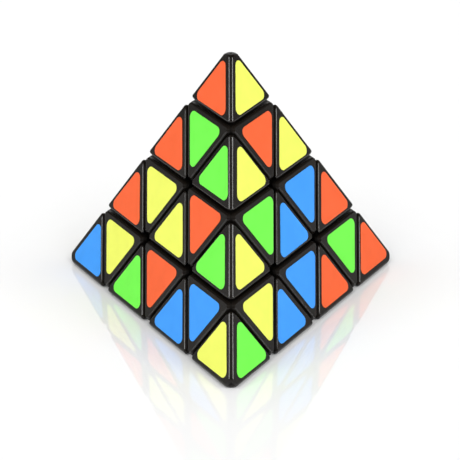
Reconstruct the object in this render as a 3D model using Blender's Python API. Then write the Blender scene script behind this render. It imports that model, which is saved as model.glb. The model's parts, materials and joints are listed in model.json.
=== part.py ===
"""A four-layer pyramid twisty puzzle: a regular tetrahedron cut by three planes square to each of its four
corner axes. Metres, +Z up. The base face lies on z = 0 with its centre at the world origin. One corner
points up, one points to -Y (front), the other two lie behind, to -X (left) and +X (right).

How it comes apart: a ball core carries four axis screws, one towards each corner. Each screw passes through
an inner hub and an axial, and a spring under its washer presses both towards the core. Six mid edges and four
face centers are held by feet that reach under their neighbours around the core. Twelve wings slide on T-shaped
feet in a round channel under each axial. Four tips snap into the axials' wells. Every turn is about one of the
four corner axes, which all pass through the middle of the puzzle.

Each kind of piece is made once, about the middle and mostly on the top axis, then copied and turned.
Heights are measured from the middle of the puzzle along a corner axis.
"""

import itertools
import math

import bmesh
import bpy
import numpy as np
from mathutils import Matrix, Vector

MM = 0.001

# --- outside shape and cuts ---
EDGE = 100.0 * MM  # edge of the closed pyramid, measured to its sharp corners
FACE = EDGE * math.sqrt(6) / 12  # from the middle to each outer face
MID_CUT = FACE  # heights of the outer two cuts; the deep cuts pass through the middle
TIP_CUT = 2 * FACE
SHARP_CORNER = 3 * FACE
HALF_GAP = 0.36 * MM  # half of the running gap between neighbouring pieces
EDGE_ROUND = 1.05 * MM  # rounding along the pyramid's six edges
EDGE_STEPS = 2
CELL_ROUND = 0.65 * MM  # broken edge round each piece's outer triangle
CELL_STEPS = 1
CAP_FLAT = 0.70 * MM  # the four corners are blunt domes: this far round the axis they are level
CAP_ROUND = 2.00 * MM  # and from there they are round, down to the edges
CAP_TILTS = (math.radians(18), math.radians(36))
CAP_SIDES = 12

# --- core, and the feet round it ---
CORE_R = 9.10 * MM
FOOT_IN_R = CORE_R + 0.40 * MM
FOOT_OUT_R = 12.40 * MM
FOOT_ROOF_R = FOOT_OUT_R + 0.50 * MM  # hollow above the neighbours' feet
FOOT_REACH = 0.90 * MM  # how far a foot reaches under its neighbour
FOOT_GAP = 0.15 * MM  # half of the gap between two feet
ROOT_IN_R = FOOT_IN_R + 0.80 * MM  # a root joins a foot to its block
ROOT_OUT_R = FOOT_ROOF_R + 1.00 * MM
ROOT_INSET = 0.35 * MM  # from the sides of foot and block
SHELL_BOUND = 20.0 * MM  # planes that only close a shape before a ball trims it

# --- wing channel round each corner axis ---
CHANNEL_PLAY = 0.30 * MM
WING_SIDE_PLAY = 0.15 * MM
HUB_NECK_R = 6.30 * MM
WING_IN_R = HUB_NECK_R + CHANNEL_PLAY
WING_NECK_R = 10.50 * MM
WING_FLANGE_R = 13.50 * MM
WING_LOW = 13.50 * MM
WING_STEP = 17.00 * MM
WING_FOOT_HIGH = MID_CUT + 2.20 * MM  # inside the wing's block
CHANNEL_LOW = WING_LOW - CHANNEL_PLAY
CHANNEL_HIGH = MID_CUT + 3.00 * MM
WAIST_OUT_R = 20.0 * MM  # the cutter that leaves the hub's neck
WAIST_HIGH = MID_CUT + 2.00 * MM

# --- axial well and the tip that snaps into it ---
WELL_FLOOR = 25.50 * MM
WELL_R = 5.20 * MM
MOUTH_R = 4.65 * MM
MOUTH_LOW = 36.80 * MM
MOUTH_SLOPE = 0.40 * MM  # height of the slope from well to mouth
STEM_R = 4.40 * MM
STEM_HIGH = TIP_CUT + 1.50 * MM  # inside the tip's block
STEM_RIM_R = 4.90 * MM
STEM_LOW = 35.50 * MM
STEM_RIM_HIGH = 36.45 * MM
STEM_BEVEL = 0.30 * MM  # at the bottom of the rim: across
STEM_BEVEL_HIGH = 0.40 * MM  # and up
STEM_RIM_SLOPE = 0.20 * MM  # height of the slope above the rim
STEM_BORE_R = 3.00 * MM
STEM_BORE_HIGH = 46.00 * MM

# --- axis hardware ---
SCREW_HOLE_R = 1.25 * MM  # clearance hole in hub, axial and washer
PILOT_R = 1.06 * MM
PILOT_LOW = 3.90 * MM
WASHER_R = 3.20 * MM
WASHER_LOW = 31.75 * MM
WASHER_HIGH = 32.30 * MM
SCREW_R = 1.00 * MM  # M2 shank
SCREW_LOW = PILOT_LOW + 0.40 * MM
SCREW_POINT = 0.30 * MM  # bevel at the end of the shank: across
SCREW_POINT_HIGH = 0.50 * MM  # and up
HEAD_R = 2.40 * MM
HEAD_LOW = WASHER_HIGH + 0.10 * MM
HEAD_HIGH = HEAD_LOW + 1.60 * MM
HEAD_BEVEL = 0.60 * MM  # at the top of the head: across
HEAD_BEVEL_HIGH = 0.50 * MM  # and down
RECESS_DEEP = 0.90 * MM
RECESS_ARM = 1.20 * MM  # cross recess, from the axis to the end of an arm
RECESS_HALF = 0.27 * MM  # half of an arm's width
SPRING_R = 2.25 * MM  # to the middle of the wire
WIRE_R = 0.30 * MM
SPRING_GAP = 0.15 * MM  # clear of the well's floor and the washer
SPRING_LOW = WELL_FLOOR + WIRE_R + SPRING_GAP
SPRING_HIGH = WASHER_LOW - WIRE_R - SPRING_GAP
SPRING_TURNS = 4
SPRING_STEPS = 9  # per turn
WIRE_SIDES = 4

# --- mesh detail ---
ROUND = 18  # sides of small turned shapes
CHANNEL_ROUND = 24  # sides of the channel and the wing feet
BALL_SUBDIVISIONS = 3
SHARP_ANGLE = math.radians(32)
OVERCUT = 1.0 * MM  # how far a cutter runs past the surface it opens
WELD = 0.0005 * MM

AXIS = {
    "top": Vector((0, 0, 1)),
    "front": Vector((0, -2 * math.sqrt(2) / 3, -1 / 3)),
    "left": Vector((-math.sqrt(2 / 3), math.sqrt(2) / 3, -1 / 3)),
    "right": Vector((math.sqrt(2 / 3), math.sqrt(2) / 3, -1 / 3)),
}
TOP, FRONT, LEFT, RIGHT = AXIS.values()
FACES = {"bottom": "top", "back": "front", "right": "left", "left": "right"}  # face: corner opposite

BLACK = dict(color=(0.030, 0.030, 0.031, 1), roughness=0.38, metallic=0.0)
INNER = dict(color=(0.045, 0.045, 0.047, 1), roughness=0.50, metallic=0.0)
NYLON = dict(color=(0.62, 0.62, 0.60, 1), roughness=0.45, metallic=0.0)
STEEL = dict(color=(0.58, 0.58, 0.60, 1), roughness=0.30, metallic=1.0)
ZINC = dict(color=(0.70, 0.70, 0.71, 1), roughness=0.35, metallic=1.0)
SPRING_WIRE = dict(color=(0.50, 0.50, 0.52, 1), roughness=0.28, metallic=1.0)


# --- planes: (outward normal, offset) ------------------------------------------------------------
def above(axis, height):
    """The half space further than height along axis."""
    return (-axis, -height)


def below(axis, height):
    return (axis, height)


def between_normals(first, second, share):
    angle = first.angle(second)
    return (
        first * math.sin((1 - share) * angle) + second * math.sin(share * angle)
    ) / math.sin(angle)


def rounding(first, second, radius, steps):
    """Planes that touch the round of this radius along the edge where two planes meet."""
    (normal_1, offset_1), (normal_2, offset_2) = first, second
    cosine = normal_1.dot(normal_2)
    if cosine < -0.99:  # opposite planes share no edge
        return []
    planes = []
    for step in range(steps):
        normal = between_normals(normal_1, normal_2, (step + 0.5) / steps)
        # normal = share_1 normal_1 + share_2 normal_2; the round's centre line lies radius inside both
        share_2 = (normal.dot(normal_2) - cosine * normal.dot(normal_1)) / (1 - cosine * cosine)
        share_1 = normal.dot(normal_1) - share_2 * cosine
        offset = share_1 * (offset_1 - radius) + share_2 * (offset_2 - radius) + radius
        planes.append((normal, offset))
    return planes


# --- meshes --------------------------------------------------------------------------------------
def mesh_from(shell):
    bmesh.ops.recalc_face_normals(shell, faces=shell.faces)
    mesh = bpy.data.meshes.new("shape")
    shell.to_mesh(mesh)
    shell.free()
    return mesh


def solid_between(planes):
    """The closed convex mesh inside every plane."""
    normals = np.array([list(normal) for normal, _ in planes])
    offsets = np.array([offset for _, offset in planes])
    # every three planes that meet in a point may give a corner
    triples = np.array(list(itertools.combinations(range(len(planes)), 3)))
    systems = normals[triples]
    sound = np.abs(np.linalg.det(systems)) > 1e-6
    points = np.linalg.solve(systems[sound], offsets[triples[sound]][..., None])[..., 0]
    inside = (points @ normals.T <= offsets + 1e-9).all(axis=1)
    corners = []
    for point in points[inside]:
        if all(np.linalg.norm(point - corner) > 2e-6 for corner in corners):
            corners.append(point)
    shell = bmesh.new()
    for corner in corners:
        shell.verts.new(corner)
    bmesh.ops.convex_hull(shell, input=shell.verts)
    bmesh.ops.dissolve_limit(
        shell, angle_limit=math.radians(0.2), verts=shell.verts, edges=shell.edges
    )
    return mesh_from(shell)


def skinned(outlines, capped=True):
    """Outlines of equal point count joined in a row: capped at both ends, or closed on itself."""
    shell = bmesh.new()
    rings = [[shell.verts.new(point) for point in outline] for outline in outlines]
    following = rings[1:] if capped else rings[1:] + rings[:1]
    for ring, after in zip(rings, following):
        for k in range(len(ring)):
            step = (k + 1) % len(ring)
            shell.faces.new((ring[k], ring[step], after[step], after[k]))
    if capped:
        shell.faces.new(rings[0])
        shell.faces.new(rings[-1])
    return mesh_from(shell)


def turned(profile, sides):
    """A closed profile of (radius, height) points turned about +Z; capped if it starts on the axis."""
    angles = [2 * math.pi * k / sides for k in range(sides)]
    outlines = [
        [(radius * math.cos(angle), radius * math.sin(angle), height) for angle in angles]
        for radius, height in profile
        if radius > 0
    ]
    return skinned(outlines, capped=profile[0][0] == 0)


def rod(radius, low, high):
    return turned([(0, low), (radius, low), (radius, high), (0, high)], ROUND)


def ball(radius):
    shell = bmesh.new()
    bmesh.ops.create_icosphere(shell, subdivisions=BALL_SUBDIVISIONS, radius=radius)
    return mesh_from(shell)


def worked(base, *steps):
    """The base mesh after a row of (operation, mesh) Booleans; uses up all the meshes."""
    body = bpy.data.objects.new("work", base)
    bpy.context.collection.objects.link(body)
    helpers = [body]
    for operation, mesh in steps:
        tool = bpy.data.objects.new("tool", mesh)
        bpy.context.collection.objects.link(tool)
        helpers.append(tool)
        modifier = body.modifiers.new("cut", "BOOLEAN")
        modifier.operation = operation
        modifier.solver = "EXACT"
        modifier.object = tool
    graph = bpy.context.evaluated_depsgraph_get()
    result = bpy.data.meshes.new_from_object(body.evaluated_get(graph))
    shell = bmesh.new()
    shell.from_mesh(result)
    bmesh.ops.remove_doubles(shell, verts=shell.verts, dist=WELD)
    bmesh.ops.dissolve_degenerate(shell, edges=shell.edges, dist=WELD)
    shell.to_mesh(result)
    shell.free()
    for helper in helpers:
        mesh = helper.data
        bpy.data.objects.remove(helper)
        bpy.data.meshes.remove(mesh)
    return result


# --- turns of the tetrahedron --------------------------------------------------------------------
def rotation_to(first, second):
    """The turn that takes the top axis to first and the front axis to second."""

    def frame(main, side):
        return Matrix((main, side, main.cross(side))).transposed()

    return (frame(first, second) @ frame(TOP, FRONT).inverted()).to_4x4()


def rotation_from(start, end):
    """The first turn of the tetrahedron that takes one corner axis to another."""
    turns = (rotation_to(*pair) for pair in itertools.permutations(AXIS.values(), 2))
    return next(turn for turn in turns if (turn @ start - end).length < 1e-6)


def moved_to(axis, mesh):
    """The mesh, made on the top axis, turned to another corner axis."""
    mesh.transform(rotation_from(TOP, axis))
    return mesh


# --- blocks and feet -----------------------------------------------------------------------------
def cap(corner):
    """The dome on a corner of the pyramid: it touches the three rounded edges that meet there."""
    sine, cosine = math.sqrt(1 / 3), math.sqrt(2 / 3)  # of the angle between corner axis and edge
    ridge = SHARP_CORNER - EDGE_ROUND * (math.sqrt(3) - 1) / sine
    middle = ridge - (CAP_ROUND + cosine * CAP_FLAT) / sine
    side = corner.orthogonal().normalized()
    across = corner.cross(side)
    planes = [below(corner, middle + CAP_ROUND)]
    for tilt in CAP_TILTS:
        height = middle * math.cos(tilt) + CAP_FLAT * math.sin(tilt) + CAP_ROUND
        for step in range(CAP_SIDES):
            angle = 2 * math.pi * step / CAP_SIDES
            outward = side * math.cos(angle) + across * math.sin(angle)
            planes.append((corner * math.cos(tilt) + outward * math.sin(tilt), height))
    return planes


def cell(outer, inner, corner_planes=()):
    """A piece's block. outer: corner axes whose opposite face it shows; inner: its cutting planes."""
    skins = [above(axis, -FACE) for axis in outer]
    planes = skins + inner
    for pair in itertools.combinations(skins, 2):
        planes += rounding(*pair, EDGE_ROUND, EDGE_STEPS)
    for skin, plane in itertools.product(skins, inner):
        planes += rounding(skin, plane, CELL_ROUND, CELL_STEPS)
    return solid_between(planes + list(corner_planes))


def shell_part(planes, inner_radius, outer_radius):
    """The part inside the planes of a hollow ball round the middle."""
    bounds = [(sign * axis, SHELL_BOUND) for axis in AXIS.values() for sign in (1, -1)]
    return worked(
        solid_between(planes + bounds),
        ("INTERSECT", ball(outer_radius)),
        ("DIFFERENCE", ball(inner_radius)),
    )


def foot(beyond, short_of, outer_radius=FOOT_OUT_R):
    """The foot of a piece that lies beyond some axes' deep cuts and short of the others'."""
    planes = [above(axis, -FOOT_REACH + FOOT_GAP) for axis in beyond]
    planes += [below(axis, -FOOT_REACH - FOOT_GAP) for axis in short_of]
    return shell_part(planes, FOOT_IN_R, outer_radius)


def root(beyond, short_of):
    """Joins a foot to the block above it, well inside both."""
    planes = [above(axis, HALF_GAP + ROOT_INSET) for axis in beyond]
    planes += [below(axis, -FOOT_REACH - FOOT_GAP - ROOT_INSET) for axis in short_of]
    return shell_part(planes, ROOT_IN_R, ROOT_OUT_R)


def channel():
    """The round channel under an axial, which the wings' feet slide in."""
    flange, neck = WING_FLANGE_R + CHANNEL_PLAY, WING_NECK_R + CHANNEL_PLAY
    step = WING_STEP + CHANNEL_PLAY
    return turned(
        [
            (0, CHANNEL_LOW),
            (flange, CHANNEL_LOW),
            (flange, step),
            (neck, step),
            (neck, CHANNEL_HIGH),
            (0, CHANNEL_HIGH),
        ],
        CHANNEL_ROUND,
    )


# --- pieces --------------------------------------------------------------------------------------
def make_tip():
    block = cell((FRONT, LEFT, RIGHT), [above(TOP, TIP_CUT + HALF_GAP)], cap(TOP))
    stem = turned(
        [
            (0, STEM_LOW),
            (STEM_RIM_R - STEM_BEVEL, STEM_LOW),
            (STEM_RIM_R, STEM_LOW + STEM_BEVEL_HIGH),
            (STEM_RIM_R, STEM_RIM_HIGH - STEM_RIM_SLOPE),
            (STEM_R, STEM_RIM_HIGH),
            (STEM_R, STEM_HIGH),
            (0, STEM_HIGH),
        ],
        ROUND,
    )
    bore = rod(STEM_BORE_R, STEM_LOW - OVERCUT, STEM_BORE_HIGH)
    return worked(block, ("UNION", stem), ("DIFFERENCE", bore))


def make_axial():
    sides = (FRONT, LEFT, RIGHT)
    block = cell(
        sides,
        [above(TOP, MID_CUT + HALF_GAP), below(TOP, TIP_CUT - HALF_GAP)]
        + [below(axis, -HALF_GAP) for axis in sides],
    )
    well = turned(
        [
            (0, MID_CUT - OVERCUT),
            (SCREW_HOLE_R, MID_CUT - OVERCUT),
            (SCREW_HOLE_R, WELL_FLOOR),
            (WELL_R, WELL_FLOOR),
            (WELL_R, MOUTH_LOW),
            (MOUTH_R, MOUTH_LOW + MOUTH_SLOPE),
            (MOUTH_R, TIP_CUT + OVERCUT),
            (0, TIP_CUT + OVERCUT),
        ],
        ROUND,
    )
    return worked(block, ("DIFFERENCE", well))


def make_wing():
    """The wing below the top axial, on its front side."""
    block = cell((LEFT, RIGHT), [above(TOP, MID_CUT + HALF_GAP), above(FRONT, HALF_GAP)])
    ring = turned(
        [
            (WING_IN_R, WING_LOW),
            (WING_FLANGE_R, WING_LOW),
            (WING_FLANGE_R, WING_STEP),
            (WING_NECK_R, WING_STEP),
            (WING_NECK_R, WING_FOOT_HIGH),
            (WING_IN_R, WING_FOOT_HIGH),
        ],
        CHANNEL_ROUND,
    )
    side_gap = HALF_GAP + WING_SIDE_PLAY
    # the first three planes shape the foot; the rest only close the sector outside the ring
    sector = solid_between(
        [
            above(FRONT, side_gap),
            below(LEFT, -side_gap),
            below(RIGHT, -side_gap),
            above(TOP, WING_LOW - 2 * MM),
            below(TOP, MID_CUT + 4 * MM),
            below(FRONT, 30 * MM),
            above(LEFT, -40 * MM),
            above(RIGHT, -40 * MM),
        ]
    )
    return worked(block, ("UNION", worked(ring, ("INTERSECT", sector))))


def held_piece(block, beyond, short_of):
    """A block hollowed for its neighbours' feet and the wing channels, with its own foot."""
    return worked(
        block,
        ("DIFFERENCE", ball(FOOT_ROOF_R)),
        *(("DIFFERENCE", moved_to(axis, channel())) for axis in beyond),
        ("UNION", foot(beyond, short_of)),
        ("UNION", root(beyond, short_of)),
    )


def make_mid_edge():
    """The mid edge between the top and front corners."""
    beyond, short_of = (TOP, FRONT), (LEFT, RIGHT)
    block = cell(
        short_of,
        [above(axis, HALF_GAP) for axis in beyond]
        + [below(axis, MID_CUT - HALF_GAP) for axis in beyond]
        + [below(axis, -HALF_GAP) for axis in short_of],
    )
    return held_piece(block, beyond, short_of)


def make_face_center():
    """The center of the face opposite the right corner."""
    beyond, short_of = (TOP, FRONT, LEFT), (RIGHT,)
    block = cell(short_of, [above(axis, HALF_GAP) for axis in beyond])
    return held_piece(block, beyond, short_of)


def make_hub():
    sides = (FRONT, LEFT, RIGHT)
    block = solid_between(
        [below(TOP, MID_CUT - HALF_GAP)] + [below(axis, -HALF_GAP) for axis in sides]
    )
    waist = turned(
        [
            (HUB_NECK_R, CHANNEL_LOW),
            (WAIST_OUT_R, CHANNEL_LOW),
            (WAIST_OUT_R, WAIST_HIGH),
            (HUB_NECK_R, WAIST_HIGH),
        ],
        CHANNEL_ROUND,
    )
    hole_low = 5 * MM  # anywhere in the hollow under the foot
    return worked(
        block,
        ("DIFFERENCE", waist),
        ("DIFFERENCE", ball(FOOT_ROOF_R)),
        ("UNION", foot((), sides, outer_radius=ROOT_OUT_R)),
        ("DIFFERENCE", rod(SCREW_HOLE_R, hole_low, MID_CUT + OVERCUT)),
    )


def make_core():
    pilots = [
        moved_to(axis, rod(PILOT_R, PILOT_LOW, CORE_R + OVERCUT)) for axis in AXIS.values()
    ]
    return worked(ball(CORE_R), *(("DIFFERENCE", pilot) for pilot in pilots))


def cross_recess():
    quarter = [
        (RECESS_ARM, -RECESS_HALF),
        (RECESS_ARM, RECESS_HALF),
        (RECESS_HALF, RECESS_HALF),
    ]
    outline = []
    for cosine, sine in ((1, 0), (0, 1), (-1, 0), (0, -1)):
        outline += [(cosine * x - sine * y, sine * x + cosine * y) for x, y in quarter]
    heights = (HEAD_HIGH - RECESS_DEEP, HEAD_HIGH + OVERCUT)
    return skinned([[(x, y, z) for x, y in outline] for z in heights])


def make_screw():
    body = turned(
        [
            (0, SCREW_LOW),
            (SCREW_R - SCREW_POINT, SCREW_LOW),
            (SCREW_R, SCREW_LOW + SCREW_POINT_HIGH),
            (SCREW_R, HEAD_LOW),
            (HEAD_R, HEAD_LOW),
            (HEAD_R, HEAD_HIGH - HEAD_BEVEL_HIGH),
            (HEAD_R - HEAD_BEVEL, HEAD_HIGH),
            (0, HEAD_HIGH),
        ],
        ROUND,
    )
    return worked(body, ("DIFFERENCE", cross_recess()))


def make_washer():
    return turned(
        [
            (SCREW_HOLE_R, WASHER_LOW),
            (WASHER_R, WASHER_LOW),
            (WASHER_R, WASHER_HIGH),
            (SCREW_HOLE_R, WASHER_HIGH),
        ],
        ROUND,
    )


def make_spring():
    """A wire swept along a helix, its two ends closed flat."""
    steps = SPRING_TURNS * SPRING_STEPS
    length = SPRING_HIGH - SPRING_LOW
    rise = length / (2 * math.pi * SPRING_TURNS)  # per radian
    outlines = []
    for step in range(steps + 1):
        angle = 2 * math.pi * SPRING_TURNS * step / steps
        outward = Vector((math.cos(angle), math.sin(angle), 0))
        along = Vector((-SPRING_R * math.sin(angle), SPRING_R * math.cos(angle), rise))
        across = along.normalized().cross(outward)
        middle = outward * SPRING_R + Vector((0, 0, SPRING_LOW + length * step / steps))
        outlines.append(
            [
                middle + WIRE_R * math.cos(around) * outward + WIRE_R * math.sin(around) * across
                for around in (2 * math.pi * k / WIRE_SIDES for k in range(WIRE_SIDES))
            ]
        )
    return skinned(outlines)


# --- the assembly --------------------------------------------------------------------------------
def finish(name, color, roughness, metallic):
    material = bpy.data.materials.new(name + "_finish")
    material.use_nodes = True
    shader = next(node for node in material.node_tree.nodes if node.type == "BSDF_PRINCIPLED")
    shader.inputs["Base Color"].default_value = color
    shader.inputs["Roughness"].default_value = roughness
    shader.inputs["Metallic"].default_value = metallic
    material.diffuse_color = color
    return material


def place(name, shape, look, turn, parent):
    """One piece, its origin in the middle of the puzzle, where every joint's axis passes."""
    mesh = shape.copy()
    mesh.name = name
    mesh.materials.clear()
    mesh.materials.append(finish(name, **look))
    mesh.shade_smooth()
    mesh.set_sharp_from_angle(angle=SHARP_ANGLE)
    piece = bpy.data.objects.new(name, mesh)
    bpy.context.collection.objects.link(piece)
    piece.parent = parent
    piece.rotation_mode = "QUATERNION"
    piece.rotation_quaternion = turn.to_quaternion()


def place_all(kind, shape, look, turns, parent):
    """A copy of the shape for each ending and turn; uses up the shape."""
    for ending, turn in turns.items():
        place(kind + ending, shape, look, turn, parent)
    bpy.data.meshes.remove(shape)


for leftover in list(bpy.data.objects):
    bpy.data.objects.remove(leftover)

center = bpy.data.objects.new("puzzle_center", None)
center.location = (0, 0, FACE)
bpy.context.collection.objects.link(center)

# name ending: turn from where the piece was made
once = {"": Matrix.Identity(4)}
corners = {"_" + corner: rotation_from(TOP, axis) for corner, axis in AXIS.items()}
faces = {"_" + face: rotation_from(RIGHT, AXIS[corner]) for face, corner in FACES.items()}
ordered_pairs, edges = (
    {f"_{first}_{second}": rotation_to(AXIS[first], AXIS[second]) for first, second in pairs}
    for pairs in (itertools.permutations(AXIS, 2), itertools.combinations(AXIS, 2))
)

for kind, make, look, turns in (
    ("core", make_core, NYLON, once),
    ("tip", make_tip, BLACK, corners),
    ("axial", make_axial, BLACK, corners),
    ("inner_hub", make_hub, INNER, corners),
    ("axis_screw", make_screw, STEEL, corners),
    ("washer", make_washer, ZINC, corners),
    ("spring", make_spring, SPRING_WIRE, corners),
    ("wing", make_wing, BLACK, ordered_pairs),
    ("mid_edge", make_mid_edge, BLACK, edges),
    ("face_center", make_face_center, BLACK, faces),
):
    place_all(kind, make(), look, turns, center)
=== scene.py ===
"""The looks of a four-layer pyramid twisty puzzle: its plastic pieces with fine rounding, 64 vinyl stickers, the
axis hardware, a pale glossy floor, soft studio light and the camera.

The pyramid stands on z = 0 with one corner up, one towards -Y, where the camera is, and one each to the left (-X)
and right (+X) at the back. Shapes are built in millimetres round the pyramid's centre. Finished meshes are in
metres, and so are materials, floor, lights and camera."""

import itertools
import json
import math
import random

import bmesh
import bpy
import numpy as np
from mathutils import Matrix, Vector


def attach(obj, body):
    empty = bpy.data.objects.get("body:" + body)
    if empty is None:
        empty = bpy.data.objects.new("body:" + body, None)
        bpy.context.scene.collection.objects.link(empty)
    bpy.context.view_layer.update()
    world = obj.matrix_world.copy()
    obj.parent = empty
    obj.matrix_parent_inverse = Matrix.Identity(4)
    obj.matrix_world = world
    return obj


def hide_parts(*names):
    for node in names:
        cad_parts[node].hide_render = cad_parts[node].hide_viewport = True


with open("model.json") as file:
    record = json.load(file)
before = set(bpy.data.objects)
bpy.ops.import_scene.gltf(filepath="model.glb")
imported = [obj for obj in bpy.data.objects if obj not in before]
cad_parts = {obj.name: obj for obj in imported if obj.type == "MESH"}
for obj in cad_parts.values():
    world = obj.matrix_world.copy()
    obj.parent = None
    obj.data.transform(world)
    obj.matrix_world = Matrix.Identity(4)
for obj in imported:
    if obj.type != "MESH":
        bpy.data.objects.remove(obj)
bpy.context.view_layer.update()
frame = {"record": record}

# --- sizes in millimetres; LOW and HIGH are heights along a corner's axis from the centre ---------------------
EDGE = 100.0
INRADIUS = EDGE * math.sqrt(6) / 12  # from the centre to a face
CORNER_FAR = 3 * INRADIUS  # from the centre to a sharp corner
MID_CUT, TIP_CUT = INRADIUS, 2 * INRADIUS
HALF_GAP = 0.36  # from a cut to each of its two walls

# Rounding of the blocks: pyramid edges, the blunt corner cap, faces into cuts, pyramid edges into cuts, cuts
# into one another, and the ball where two cuts meet a face
EDGE_ROUND, EDGE_STEPS = 1.05, 8
CAP_FLAT, CAP_ROUND, CAP_RINGS, CAP_SIDES = 0.70, 2.00, 8, 24
CELL_ROUND, SHOULDER_ROUND, CELL_STEPS = 0.65, 0.85, 4
NODE_ROUND, NODE_STEPS = 1.50, 4
BALL_ROUND, BALL_STEPS = 0.80, 4

# The core ball and the feet that run round it
CORE_R = 9.10
CORE_SPIN = 0.41  # radians; keeps the ball's vertices off the rims of the holes
FOOT_IN_R, FOOT_OUT_R, FOOT_ROOF_R = 9.50, 12.40, 12.90
FOOT_REACH, FOOT_GAP = 0.90, 0.15
ROOT_IN_R, ROOT_OUT_R, ROOT_INSET = FOOT_IN_R + 0.8, FOOT_ROOF_R + 1.0, 0.35
SLAB = 20.0  # bounds the shells before a ball trims them

# The wings' flanged ring, the channel it runs in and the hub's neck
HUB_NECK_R, WAIST_OUT_R = 6.30, 20
WING_IN_R, WING_NECK_R, WING_FLANGE_R = 6.60, 10.50, 13.50
WING_LOW, WING_STEP, WING_HIGH, WING_BEVEL = 13.50, 17.00, MID_CUT + 2.2, 0.3
CHANNEL_PLAY, WING_SIDE_PLAY = 0.30, 0.15

# The axis hardware
SCREW_R, SCREW_LOW, SCREW_HEAD_R, HEAD_LOW, HEAD_HIGH = 1.0, 4.3, 2.4, 32.4, 34.0
POINT_INSET, SHANK_INSET = 0.35, 0.06
THREAD_DEEP, THREAD_HALF, THREAD_PITCH, THREAD_END = 0.14, 0.2, 0.45, 20.0
DOME_IN, DOME_RIM, DOME_STEPS = 0.9, 0.5, 6
RECESS_DEEP, RECESS_ARM, RECESS_HALF, RECESS_TAPER = 0.9, 1.2, 0.27, 0.55
SCREW_HOLE_R, PILOT_R, PILOT_LOW = 1.25, 1.06, 3.90
WASHER_R, WASHER_LOW, WASHER_HIGH, WASHER_BEVEL = 3.20, 31.75, 32.30, 0.08
SPRING_R, WIRE_R, SPRING_LOW, SPRING_HIGH, SPRING_TURNS = 2.25, 0.30, 25.95, 31.30, 4.0
WIRE_SIDES, SPRING_STEPS = 12, 32  # round the wire, and along each turn

# The well in each axial piece and the tip's hollow stem
WELL_FLOOR, WELL_R, MOUTH_R, MOUTH_LOW, MOUTH_BEVEL = 25.50, 5.20, 4.65, 36.80, 0.5
STEM_R, STEM_RIM_R, STEM_LOW, STEM_RIM_HIGH = 4.40, 4.90, 35.50, 36.45
STEM_BORE_R, STEM_BORE_HIGH = 3.00, 46.00

# Segments
ROUND, CHANNEL_ROUND, SCREW_SIDES, WASHER_SIDES, BALL_SPLITS = 48, 96, 32, 64, 5

# Stickers; for each kind of piece, how far its sticker stays from the pyramid's edges and from the cuts
STICKER_THICK, STICKER_CORNER, STICKER_ARC_STEPS = 0.12, 1.65, 12
STICKER_INSET = {
    "tip": (2.10, 1.84),
    "wing": (2.27, 1.92),
    "axial": (2.04, 1.84),
    "mid": (2.02, 1.70),
    "face": (2.10, 1.98),
}

# Depths under the faces where the walls of the gaps start to turn matt and darker with painted shade, and are fully
# so
WALL_START, WALL_FULL = 0.60, 1.05

# Unit vectors from the centre to the corners
AXIS = {
    "top": Vector((0, 0, 1)),
    "front": Vector((0, -2 * math.sqrt(2) / 3, -1 / 3)),
    "left": Vector((-math.sqrt(2 / 3), math.sqrt(2) / 3, -1 / 3)),
    "right": Vector((math.sqrt(2 / 3), math.sqrt(2) / 3, -1 / 3)),
}
AXES = TOP, FRONT, LEFT, RIGHT = tuple(AXIS.values())
BASE_AXES = FRONT, LEFT, RIGHT
OPPOSITE_CORNER = {"bottom": "top", "back": "front", "right": "left", "left": "right"}  # of each face
TO_WORLD = Matrix.Translation((0, 0, INRADIUS / 1000)) @ Matrix.Scale(0.001, 4)


# --- planes: (outward normal, distance from the centre), with the solid on the inner side --------------------
def above(axis, height):
    return (-axis, -height)


def below(axis, height):
    return (axis, height)


def between_normals(first, second, share):
    angle = first.angle(second)
    start, end = math.sin((1 - share) * angle), math.sin(share * angle)
    return (first * start + second * end) / math.sin(angle)


def rounding(first, second, radius, steps):
    """Planes that round the edge between two planes; none when they are all but parallel."""
    (normal1, far1), (normal2, far2) = first, second
    cos = normal1.dot(normal2)
    if cos < -0.98 or cos > 0.995:
        return []
    planes = []
    for step in range(steps):
        normal = between_normals(normal1, normal2, (step + 0.5) / steps)
        part2 = (normal.dot(normal2) - cos * normal.dot(normal1)) / (1 - cos * cos)
        part1 = normal.dot(normal1) - part2 * cos
        planes.append((normal, part1 * (far1 - radius) + part2 * (far2 - radius) + radius))
    return planes


def ball_corner(three, radius, steps):
    """Planes that touch the ball of this radius that sits in a corner of three planes."""
    normals = np.array([list(normal) for normal, _ in three])
    offsets = np.array([far - radius for _, far in three])
    middle = Vector(np.linalg.solve(normals, offsets))
    planes = []
    for i in range(1, steps):
        for j in range(1, steps - i):
            normal = three[0][0] * i + three[1][0] * j + three[2][0] * (steps - i - j)
            normal.normalize()
            planes.append((normal, normal.dot(middle) + radius))
    return planes


def cap(axis):
    """Planes of the blunt dome on a corner of the pyramid, which runs smoothly into its three rounded edges."""
    sine, cosine = math.sqrt(1 / 3), math.sqrt(2 / 3)  # of the angle between the axis and a pyramid edge
    ridge = CORNER_FAR - EDGE_ROUND * (math.sqrt(3) - 1) / sine  # where the rounded edges' ridges meet
    middle = ridge - (CAP_ROUND + cosine * CAP_FLAT) / sine
    side = axis.orthogonal().normalized()
    across = axis.cross(side)
    planes = [below(axis, middle + CAP_ROUND)]
    for ring in range(1, CAP_RINGS + 1):
        tilt = ring / CAP_RINGS * math.acos(sine)
        far = middle * math.cos(tilt) + CAP_FLAT * math.sin(tilt) + CAP_ROUND
        for step in range(CAP_SIDES):
            angle = 2 * math.pi * (step + 0.5 * (ring % 2)) / CAP_SIDES
            out = side * math.cos(angle) + across * math.sin(angle)
            planes.append((axis * math.cos(tilt) + out * math.sin(tilt), far))
    return planes


# --- meshes --------------------------------------------------------------------------------------------------
def add_object(name, data):
    added = bpy.data.objects.new(name, data)
    bpy.context.scene.collection.objects.link(added)
    return added


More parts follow.
